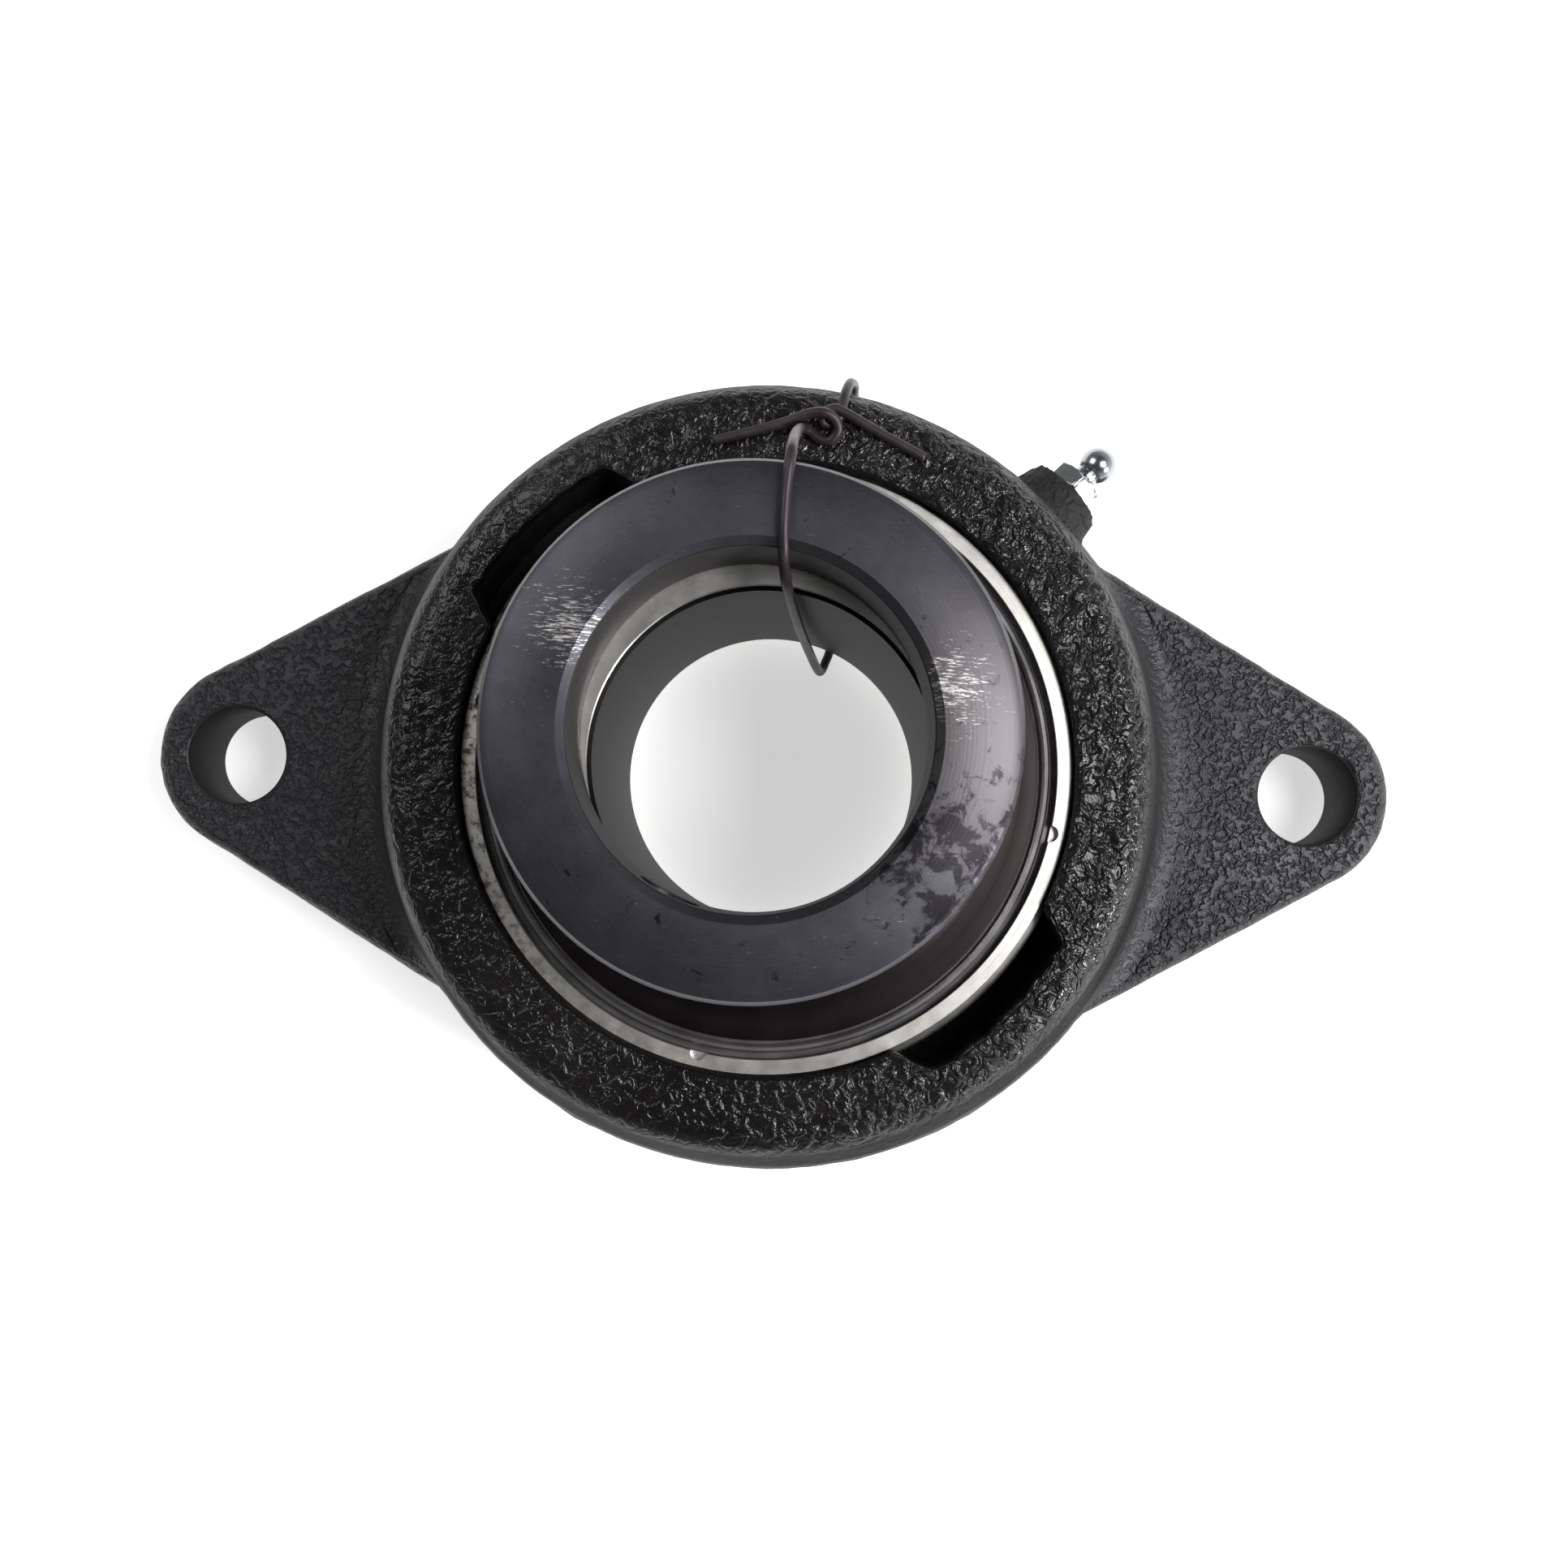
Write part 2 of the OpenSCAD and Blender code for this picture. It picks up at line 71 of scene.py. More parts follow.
wire_radius = 0.8
wire_route = [
    (-10.0, 50.4, 46.9), (-6.0, 51.5, 47.0), (-2.4, 52.5, 47.1), (1.5, 53.7, 47.5),
    (4.5, 54.8, 48.0), (7.0, 55.0, 48.4), (8.8, 54.1, 48.0), (9.3, 52.6, 47.2),
    (8.1, 51.1, 46.5), (6.2, 51.5, 46.3), (4.6, 52.7, 46.3), (3.7, 52.4, 48.5),
    (3.3, 50.4, 55.0), (3.0, 46.8, 66.0), (2.8, 43.4, 73.6), (2.6, 41.0, 75.6),
    (2.2, 36.0, 75.6), (2.1, 30.6, 75.3), (2.2, 27.4, 73.6), (2.6, 24.9, 69.0),
    (3.3, 23.6, 58.8), (4.0, 23.1, 46.0), (4.9, 22.7, 30.0), (6.3, 21.6, 14.0),
    (7.6, 20.4, 3.5), (8.3, 20.3, 0.2), (9.0, 21.9, -0.8), (10.0, 25.5, -0.9),
    (10.9, 36.0, -0.9), (11.7, 50.0, -0.9), (12.1, 63.0, -0.9), (12.2, 66.9, -0.6),
    (12.3, 68.0, 1.6), (12.3, 67.4, 10.0), (12.2, 66.9, 19.0), (12.0, 65.2, 28.0),
    (11.5, 63.2, 36.5), (10.9, 61.3, 42.4), (10.2, 58.7, 45.4), (9.8, 56.2, 46.3),
    (9.2, 54.4, 46.2), (7.9, 53.6, 46.2), (6.9, 54.1, 46.6), (7.3, 55.4, 47.0),
    (8.8, 56.0, 47.2), (10.7, 55.2, 47.2), (13.5, 53.7, 47.1), (16.6, 52.0, 47.1),
    (20.0, 50.3, 47.0), (22.9, 48.8, 46.9),
]


def smooth_path(points, steps):
    """Catmull-Rom curve: each span is the cubic whose end slopes are half the chord between
    the two neighbouring points."""
    p = np.array(points, float)
    p = np.vstack([2 * p[0] - p[1], p, 2 * p[-1] - p[-2]])
    a, b, c, d = p[:-3, None], p[1:-2, None], p[2:-1, None], p[3:, None]
    t = (np.arange(steps) / steps)[None, :, None]
    curve = b + (c - a) / 2 * t + (2 * a - 5 * b + 4 * c - d) / 2 * t**2 \
        + (3 * b - 3 * c + d - a) / 2 * t**3
    return np.vstack([curve.reshape(-1, 3), p[-2]])


def grid_piece(name, points, close_rows=False, close_columns=True, cap_ends=False):
    """A mesh over a grid of points (rows, columns, 3) in mm: each cell of four neighbours is
    one quad. The rows and the columns may close on themselves, and the first and last row may
    be capped with one polygon each."""
    rows, columns = points.shape[:2]
    index = np.arange(rows * columns).reshape(rows, columns)
    if close_rows:
        index = np.vstack([index, index[:1]])
    if close_columns:
        index = np.hstack([index, index[:, :1]])
    quads = np.stack([index[:-1, :-1], index[:-1, 1:], index[1:, 1:], index[1:, :-1]], -1)
    faces = quads.reshape(-1, 4).tolist()
    if cap_ends:
        faces.append(index[0, :columns][::-1].tolist())
        faces.append(index[-1, :columns].tolist())
    mesh = bpy.data.meshes.new(name)
    mesh.from_pydata((points.reshape(-1, 3) * MM).tolist(), [], faces)
    mesh.shade_smooth()
    piece = bpy.data.objects.new(name, mesh)
    bpy.context.scene.collection.objects.link(piece)
    return piece


def tube_points(path, radius, sides):
    """Rings of a round tube: path point + radius * (side * cos a + up * sin a), where side and
    up are square to the path. Each side is the last one less its part along the path, so the
    rings turn with the path as little as they can."""
    path = np.asarray(path, float)
    along = np.gradient(path, axis=0)
    along /= np.linalg.norm(along, axis=1, keepdims=True)
    side = np.empty_like(path)
    side[0] = np.cross(along[0], (0.3, 0.5, 0.81))
    for i in range(len(path)):
        last = side[max(i - 1, 0)]
        side[i] = last - along[i] * np.dot(last, along[i])
        side[i] /= np.linalg.norm(side[i])
    up = np.cross(along, side)
    a = np.linspace(0, 2 * np.pi, sides, endpoint=False)[None, :, None]
    return path[:, None] + radius * (side[:, None] * np.cos(a) + up[:, None] * np.sin(a))


def colour(hex_code):
    """Linear RGBA of an sRGB hex colour: v / 12.92 up to 0.04045, ((v + 0.055) / 1.055) ^ 2.4
    above."""
    v = np.array([int(hex_code[i:i + 2], 16) for i in (1, 3, 5)]) / 255
    return (*np.where(v <= 0.04045, v / 12.92, ((v + 0.055) / 1.055) ** 2.4), 1.0)


def add(tree, kind, settings={}, links={}, output=0):
    """Adds one shader node and returns one of its outputs. Settings with a small first letter
    are the node's own, the others and numbers are its sockets, and links feed sockets."""
    new = tree.nodes.new("ShaderNode" + kind)
    for key, value in settings.items():
        if isinstance(key, str) and key[0].islower():
            setattr(new, key, value)
        else:
            new.inputs[key].default_value = value
    for key, source in links.items():
        tree.links.new(source, new.inputs[key])
    return new.outputs[output]


def new_material(name, **settings):
    """A material with its Principled shader. Returns the material, its node tree, the shader
    and the Object coordinates. Settings name shader sockets, with _ for a space."""
    material = bpy.data.materials.new(name)
    material.use_nodes = True
    tree = material.node_tree
    shader = tree.nodes["Principled BSDF"]
    for key, value in settings.items():
        shader.inputs[key.replace("_", " ")].default_value = value
    return material, tree, shader, add(tree, "TexCoord", output=3)


def finish_material(tree, shader, **sources):
    """Links sources to the shader's sockets, with _ for a space."""
    for key, source in sources.items():
        tree.links.new(source, shader.inputs[key.replace("_", " ")])


def annealed_wire():
    """Annealed steel wire: the oxide is brown-black and satin, with faint lines from the die."""
    material, tree, shader, place = new_material("black_annealed_wire", Metallic=0.6)
    patch = add(tree, "TexNoise", {"Scale": 1 / (4 * MM), "Detail": 3}, {"Vector": place})
    tint = add(tree, "Mix", {"data_type": "RGBA", 6: colour("#1c1a1c"), 7: colour("#4a4246")},
               {0: patch}, 2)
    grain = add(tree, "TexNoise", {"Scale": 1 / (0.25 * MM), "Detail": 2}, {"Vector": place})
    rough = add(tree, "MapRange", {"To Min": 0.32, "To Max": 0.55}, {"Value": patch})
    bump = add(tree, "Bump", {"Distance": 0.02 * MM, "Strength": 0.6}, {"Height": grain})
    finish_material(tree, shader, Base_Color=tint, Roughness=rough, Normal=bump)
    return material


wire_path = smooth_path(wire_route, steps=10)
wire_tube = tube_points(wire_path, wire_radius, sides=16)
wire = grid_piece("tie_wire", wire_tube[:, ::-1], cap_ends=True)
wire.data.materials.append(annealed_wire())
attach(wire, "housing")


# ---- housing ----
# Grey iron sand casting, with a coarse skin that black enamel leaves visible, pooled smooth in
# the fillets and on rounded edges. The spherical seat and the bolt holes are machined, and two
# loading slots are cored through the seat's front half so that the ring can be turned in.

bolt_spacing = 184.15
bolt_hole_radius = 8.35
flange_height = 18.0
ear_radius = 16.4
ear_centre = bolt_spacing / 2 - 2.3
ear_angle = np.radians(30)
ear_edge = 2.0
foot_chamfer = 0.5
base_radius = 66.8
face_height = 45.5
draft = np.radians(14)
shoulder_round = 5.0
fillet_radius = 5.0
opening_radius = 46.5
opening_chamfer = 0.6
seat_height = 31.0
seat_radius = 50.05
slot_radius = 53.5
slot_angles = np.radians([136, 316])
slot_half = np.radians(14.5)
slot_flare = np.radians(6.0)
slot_ledge = 5.0
lip_round = 0.35
boss_angle = np.radians(45)
boss_height = 32.0
boss_radius = 7.4
boss_end = 67.0
columns = 680
ragged_rim, rim_bump_size = 0.22, 1.6
fine_lump, fine_lump_size = 0.16, 1.9
broad_waves = [(0.12, 4.5, 2), (0.16, 14.0, 3)]  # height, size and seed of each

shoulder_z = face_height - shoulder_round
shoulder_r = base_radius - (shoulder_z - flange_height) * np.tan(draft) \
    - shoulder_round / np.cos(draft)
fillet_z = flange_height + fillet_radius
fillet_r = base_radius - fillet_radius * np.tan(draft) + fillet_radius / np.cos(draft)
touch_r = fillet_r - fillet_radius * np.cos(draft)
touch_z = fillet_z - fillet_radius * np.sin(draft)
seat_top_r = np.sqrt(seat_radius**2 - (face_height - seat_height)**2)
seat_foot_z = seat_height - np.sqrt(seat_radius**2 - opening_radius**2)


def ease(x):
    """0 below 0, 1 above 1 and 3x^2 - 2x^3 between."""
    x = np.clip(x, 0, 1)
    return x * x * (3 - 2 * x)


def off_angle(angle, centre):
    """How far an angle is from a centre angle, from -pi to pi."""
    return (angle - centre + np.pi) % (2 * np.pi) - np.pi


def column_angles(count):
    """Angles round the shaft axis, about four times as close together at the ears' ends and
    half as close again at the slots' sides: the running sum of the wanted density, evened."""
    a = np.linspace(0, 2 * np.pi, 20001)
    density = np.ones_like(a)
    for ear in (0, np.pi):
        density += 3.0 * ease(1.6 - np.abs(off_angle(a, ear)) / np.radians(9.5))
    for slot in slot_angles:
        for side in (-1, 1):
            gap = np.abs(off_angle(a, slot + side * (slot_half + slot_flare / 2)))
            density += 1.5 * ease(1.5 - gap / np.radians(4))
    total = np.concatenate([[0], np.cumsum((density[1:] + density[:-1]) / 2)])
    return np.interp(np.arange(count) / count, total / total[-1], a)


def flange_reach(a):
    """Distance from the shaft axis to the flange's outline: the ear's end circle inside its
    tangent points, its straight side beyond them, and the body's foot where that is farther."""
    ear = np.abs(off_angle(a, 0))
    ear = np.minimum(ear, np.pi - ear)
    side_distance = ear_centre * np.sin(ear_angle) + ear_radius
    side = side_distance / np.maximum(np.cos(np.pi / 2 - ear_angle - ear), 0.2)
    tangent = np.arctan2(ear_radius * np.cos(ear_angle),
                         ear_centre + ear_radius * np.sin(ear_angle))
    half_chord = np.maximum(ear_radius**2 - (ear_centre * np.sin(ear))**2, 0)
    end = ear_centre * np.cos(ear) + np.sqrt(half_chord)
    reach = np.where(ear < tangent, end, side)
    return np.maximum(np.where(ear < np.pi / 2 - ear_angle, reach, 0), base_radius)


def lattice(cells, seed):
    """A repeatable random number from 0 to 1 for each whole-numbered cell, from mixed bits."""
    x, y, z = (cells[..., k].astype(np.int64) for k in range(3))
    h = (x * 374761393 + y * 668265263 + z * 974711309 + seed * 1442695041) & 0xFFFFFFFF
    h = ((h ^ (h >> 13)) * 1274126177) & 0xFFFFFFFF
    return ((h ^ (h >> 16)) & 0xFFFF) / 65535.0


def lumps(points, size, seed):
    """Value noise from -1 to 1: random numbers at the corners of cells of the given size, eased
    between along the three axes."""
    p = points / size
    low = np.floor(p)
    f = ease(p - low)
    value = 0
    for dx in (0, 1):
        for dy in (0, 1):
            for dz in (0, 1):
                weight = np.prod(np.where([dx, dy, dz], f, 1 - f), axis=-1)
                value = value + weight * lattice(low + (dx, dy, dz), seed)
    return 2 * value - 1


def slot_reach(a):
    """Distance from the shaft axis to a slot's outer wall, easing down to the seat's edge over
    the flared sides. The core's sand leaves the wall a little ragged."""
    reach = np.full_like(a, seat_top_r)
    for slot in slot_angles:
        gap = np.abs(off_angle(a, slot))
        rise = ease((slot_half + slot_flare - gap) / slot_flare)
        wall = np.stack([a * slot_radius, 0 * a, 0 * a], -1)
        ragged = ragged_rim * lumps(wall, rim_bump_size, seed=7)
        reach = np.maximum(reach, seat_top_r + (slot_radius + ragged - seat_top_r) * rise)
    return reach


def housing_section(a):
    """The closed section of the housing at each angle a: lists of radius, height and skin, each
    (rows, columns). It climbs the cored opening and the seat, crosses a slot's floor and wall,
    and comes back over the face, shoulder, drafted side, fillet, flange, edge and flat back."""
    r, z, skin = [], [], []
    flat = np.zeros_like(a)
    reach = flange_reach(a)
    slot = slot_reach(a)
    deep = np.maximum(slot, seat_radius)
    in_slot = np.clip((slot - seat_top_r) / (seat_radius - seat_top_r), 0, 1)
    ledge = np.clip((reach - base_radius) / ear_edge, 0, 1)
    foot = np.maximum(reach - ear_edge, base_radius)
    fillet_end = np.minimum(fillet_r, foot)

    def row(radius, height, cast):
        r.append(radius + flat)
        z.append(height + flat)
        skin.append(cast + flat)

    row(opening_radius + opening_chamfer, 0, 0)
    for k in np.linspace(0, 1, 4):
        row(opening_radius, opening_chamfer + (seat_foot_z - 2 * opening_chamfer) * k, 0.5)
    for k in np.linspace(0, 1, 8):
        height = seat_foot_z + (seat_height - seat_foot_z) * k
        row(np.sqrt(seat_radius**2 - (height - seat_height)**2), height, 0)
    wall_foot = seat_height + slot_ledge * (1 - in_slot)
    for k in np.linspace(0, 1, 9)[1:]:
        height = seat_height + (wall_foot - seat_height) * k
        sphere = np.sqrt(seat_radius**2 - (height - seat_height)**2)
        row(np.where(in_slot < 1, np.maximum(sphere, slot), seat_radius + (deep - seat_radius) * k),
            height, in_slot * 0.6)
    for k in np.linspace(0, 1, 13)[1:]:
        height = wall_foot + (face_height - lip_round - wall_foot) * k
        sphere = np.sqrt(seat_radius**2 - (height - seat_height)**2)
        row(np.maximum(sphere, slot), height, in_slot * (0.6 + 0.4 * k))
    lip = np.maximum(slot, seat_top_r) + lip_round
    for k in np.linspace(0, 1, 18):
        row(lip + (shoulder_r - lip) * k, face_height, ease(k * 6 + 0.15) + 0.0001)
    for k in np.linspace(0, 1, 10)[1:]:
        turn = np.pi / 2 - (np.pi / 2 - draft) * k
        row(shoulder_r + shoulder_round * np.cos(turn),
            shoulder_z + shoulder_round * np.sin(turn), 1 - 0.55 * ease(k * 1.5))
    side_top_r = shoulder_r + shoulder_round * np.cos(draft)
    side_top_z = shoulder_z + shoulder_round * np.sin(draft)
    for k in np.linspace(0, 1, 33)[1:]:
        height = side_top_z + (touch_z - side_top_z) * k
        row(side_top_r + (touch_r - side_top_r) * k, height, 0.45 + 0.3 * np.sin(np.pi * k))
    grow = ease((reach - touch_r + 0.4) / 2.5)
    for k in np.linspace(0, 1, 10)[1:]:
        radius = touch_r + (fillet_end - touch_r) * k
        bare = np.maximum(flange_height + (base_radius - radius) / np.tan(draft), flange_height)
        arc = fillet_z - np.sqrt(np.maximum(fillet_radius**2 - (radius - fillet_r)**2, 0))
        row(radius, bare + grow * np.maximum(arc - bare, 0), 0.35)
    last_z = z[-1]
    for k in np.linspace(0, 1, 21)[1:]:
        row(fillet_end + (foot - fillet_end) * k,
            last_z + (flange_height - ear_edge * (1 - ledge) - last_z) * ease(k * (1 + 3 * ledge)),
            0.4 + 0.6 * ease(k * 4))
    edge_z = z[-1]
    edge = ear_edge * ledge
    for k in np.linspace(0, 1, 7)[1:]:
        turn = np.pi / 2 * k
        row(reach - edge + edge * np.sin(turn), edge_z - edge * (1 - np.cos(turn)) - 0.4 * k, 0.6)
    side_z = z[-1]
    for k in np.linspace(0, 1, 8)[1:]:
        row(reach, side_z + (foot_chamfer - side_z) * k, 0.8 - 0.5 * k)
    back_outer = reach - foot_chamfer
    back_inner = opening_radius + 2 * opening_chamfer
    for k in np.linspace(0, 1, 9):
        row(back_outer + (back_inner - back_outer) * k, 0, 0)
    return np.array(r), np.array(z), np.array(skin)


def add_boss(r, z, a):
    """Pushes the drafted side out to the grease boss's flat end, inside the boss's circle about
    its own axis, and eases back to the side over the boss's foot."""
    widest = 0.3
    across = off_angle(a, boss_angle)[None]
    nearby = np.clip(across, -widest, widest)
    from_axis = np.hypot(z - boss_height, boss_end * np.tan(nearby))
    inside = ease((boss_radius + 0.8 - from_axis) / 1.7)
    end = boss_end / np.cos(nearby) - 0.7 * ease(from_axis / boss_radius - 0.4)
    side = (r > base_radius - 13) & (z > flange_height - 1) & (np.abs(across) < widest)
    return np.where(side, r + np.maximum(end - r, 0) * inside, r)


angles = column_angles(columns)
section_r, section_z, skin = housing_section(angles)
section_r = add_boss(section_r, section_z, angles)
housing_points = np.stack([section_r * np.cos(angles), section_r * np.sin(angles), section_z], -1)
# The sand's lumps stand out along the section's outward side, and the small ones are deepest on
# the +X side and on the flange
step = np.roll(housing_points, -1, 0) - np.roll(housing_points, 1, 0)
across = np.roll(housing_points, -1, 1) - np.roll(housing_points, 1, 1)
outward = np.cross(across, step)
outward /= np.linalg.norm(outward, axis=-1, keepdims=True) + 1e-12
rough_side = 0.35 + 0.65 * ease((housing_points[..., 0] + 15) / 53)
rough_side = np.where(section_z > flange_height + 2, rough_side, 1)
swell = fine_lump * rough_side * lumps(housing_points, fine_lump_size, seed=1)
for height, size, seed in broad_waves:
    swell += height * lumps(housing_points, size, seed)
housing_points += outward * (swell * np.clip(skin, 0, 1))[..., None]


def cut_holes(piece, profile, centres, sides=96):
    """Bores the piece with a turned cutter: profile is (radius, height) pairs carried round
    each centre, and the Boolean modifier is then applied."""
    a = np.linspace(0, 2 * np.pi, sides, endpoint=False)
    profile = np.array(profile)
    for number, centre in enumerate(centres):
        ring = np.stack([profile[:, :1] * np.cos(a) + centre[0],
                         profile[:, :1] * np.sin(a) + centre[1],
                         profile[:, 1:] + 0 * a], -1)
        cutter = grid_piece(f"cutter_{number}", ring, cap_ends=True)
        cut = piece.modifiers.new("bore", "BOOLEAN")
        cut.operation = "DIFFERENCE"
        cut.solver = "EXACT"
        cut.object = cutter
        solid = bpy.data.meshes.new_from_object(
            piece.evaluated_get(bpy.context.evaluated_depsgraph_get()))
        piece.modifiers.clear()
        piece.data = solid
        bpy.data.objects.remove(cutter)


def round_axis(tree, place, centre=(0, 0)):
    """Each point's distance from a line parallel to Z through a centre."""
    moved = add(tree, "VectorMath", {"operation": "SUBTRACT", 1: (*centre, 0)}, {0: place})
    flat = add(tree, "VectorMath", {"operation": "MULTIPLY", 1: (1, 1, 0)}, {0: moved})
    return add(tree, "VectorMath", {"operation": "LENGTH"}, {0: flat}, 1)


def near(tree, place, centre, reach):
    """1 on the line parallel to Z through a centre, easing to 0 at a distance from it."""
    return add(tree, "MapRange", {"interpolation_type": "SMOOTHSTEP", "From Min": reach,
                                  "From Max": 0}, {"Value": round_axis(tree, place, centre)})


def enamelled_iron():
    """Black enamel on a sand-cast skin: a glossy dielectric coat that follows the sand's worm-like
    lumps, about 1.9 mm apart and deepest on the face's +X side, with finer pits on the flange,
    which is coloured a lighter grey than the body. The drafted side is matt, most of all towards
    -Y, where the coat is thin. The bored holes are brown with overspray and oil."""
    material, tree, shader, place = new_material(
        "black_enamel_on_cast_iron", IOR=1.5, Specular_IOR_Level=0.4)
    cast = add(tree, "Attribute", {"attribute_name": "skin"}, output=2)
    height = add(tree, "SeparateXYZ", {}, {0: place}, 2)
    on_flange = add(tree, "MapRange", {"interpolation_type": "SMOOTHSTEP", "From Min": 26 * MM,
                                       "From Max": 17 * MM}, {"Value": height})
    cloud = add(tree, "TexNoise", {"Scale": 1 / (22 * MM), "Detail": 4}, {"Vector": place})
    worm = add(tree, "TexNoise", {"Scale": 1 / (1.9 * MM), "Detail": 2, "Roughness": 0.45,
                                  "Distortion": 0.9}, {"Vector": place})
    pit = add(tree, "TexNoise", {"Scale": 1 / (1.1 * MM), "Detail": 2, "Roughness": 0.5,
                                 "Distortion": 0.4}, {"Vector": place})
    fine = add(tree, "TexNoise", {"Scale": 1 / (0.35 * MM), "Detail": 1}, {"Vector": place})
    worm_top = add(tree, "MapRange", {"interpolation_type": "SMOOTHSTEP", "From Min": 0.36,
                                      "From Max": 0.62}, {"Value": worm})
    pit_top = add(tree, "MapRange", {"interpolation_type": "SMOOTHSTEP", "From Min": 0.3,
                                     "From Max": 0.58}, {"Value": pit})
    lump = add(tree, "Mix", {}, {0: on_flange, 2: worm_top, 3: pit_top})
    coarse = add(tree, "SeparateXYZ", {}, {0: place}, 0)
    coarse = add(tree, "MapRange", {"interpolation_type": "SMOOTHSTEP", "From Min": -15 * MM,
                                    "From Max": 38 * MM, "To Min": 0.3, "To Max": 1.0},
                 {"Value": coarse})
    coarse = add(tree, "Math", {"operation": "MAXIMUM"}, {0: coarse, 1: on_flange})
    cast = add(tree, "Math", {"operation": "MULTIPLY"}, {0: cast, 1: coarse})
    lump = add(tree, "Math", {"operation": "MULTIPLY"}, {0: lump, 1: cast})
    lump = add(tree, "Math", {"operation": "MULTIPLY_ADD", 1: 0.12}, {0: fine, 2: lump})
    bump = add(tree, "Bump", {"Distance": 0.52 * MM, "Strength": 1.0}, {"Height": lump})
    body = add(tree, "Mix", {"data_type": "RGBA", 6: colour("#0b0a0c"), 7: colour("#151112")},
               {0: cloud}, 2)
    # The flange is coloured a lighter grey than the body
    lighter_flange_tint = add(tree, "Mix", {"data_type": "RGBA", 7: colour("#26262a")},
                {0: on_flange, 6: body}, 2)
    holes = [round_axis(tree, place, (side * bolt_spacing / 2 * MM, 0)) for side in (-1, 1)]
    nearest = add(tree, "Math", {"operation": "MINIMUM"}, {0: holes[0], 1: holes[1]})
    bored = add(tree, "Math", {"operation": "LESS_THAN", 1: (bolt_hole_radius + 0.1) * MM},
                {0: nearest})
    lighter_flange_tint = add(tree, "Mix", {"data_type": "RGBA", 7: colour("#171110")},
                {0: bored, 6: lighter_flange_tint}, 2)
    rough = add(tree, "MapRange", {"To Min": 0.22, "To Max": 0.44}, {"Value": on_flange})
    above_foot = add(tree, "MapRange", {"From Min": 18.5 * MM, "From Max": 22 * MM},
                     {"Value": height})
    below_face = add(tree, "MapRange", {"From Min": 44.6 * MM, "From Max": 42 * MM},
                     {"Value": height})
    on_side = add(tree, "Math", {"operation": "MULTIPLY"}, {0: above_foot, 1: below_face})
    matt = add(tree, "Math", {"operation": "MAXIMUM"}, {0: bored, 1: on_side})
    rough = add(tree, "Mix", {3: 0.72}, {0: matt, 2: rough})
    patchy = add(tree, "MapRange", {"From Min": 0.35, "From Max": 0.7, "To Min": -0.05,
                                  "To Max": 0.08}, {"Value": cloud})
    rough = add(tree, "Math", {"operation": "ADD"}, {0: rough, 1: patchy})
    low_side = add(tree, "SeparateXYZ", {}, {0: place}, 1)
    low_side = add(tree, "MapRange", {"interpolation_type": "SMOOTHSTEP", "From Min": 10 * MM,
                                      "From Max": -35 * MM}, {"Value": low_side})
    thin = add(tree, "Math", {"operation": "MULTIPLY"}, {0: on_side, 1: low_side})
    gloss = add(tree, "Mix", {2: 0.4, 3: 0.06}, {0: thin})
    finish_material(tree, shader, Base_Color=lighter_flange_tint, Roughness=rough, Normal=bump,
                    Specular_IOR_Level=gloss)
    return material


housing = grid_piece("housing_casting", housing_points[:, ::-1], close_rows=True)
skin_layer = housing.data.attributes.new("skin", "FLOAT", "POINT")
skin_layer.data.foreach_set("value", np.clip(skin, 0, 1)[:, ::-1].ravel())
hole_profile = [(bolt_hole_radius + 0.5, -0.3), (bolt_hole_radius, 0.4),
                (bolt_hole_radius, flange_height - 0.5),
                (bolt_hole_radius + 0.9, flange_height + 0.9)]
cut_holes(housing, hole_profile, [(side * bolt_spacing / 2, 0) for side in (-1, 1)])
housing.data.materials.clear()
housing.data.materials.append(enamelled_iron())
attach(housing, "housing")
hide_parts("housing")


# ---- insert: outer ring and inner ring ----
# Through-hardened chrome steel. The faces and the sphere are ground, which leaves fine rings
# round the axis; the face shows storage stains on one side.

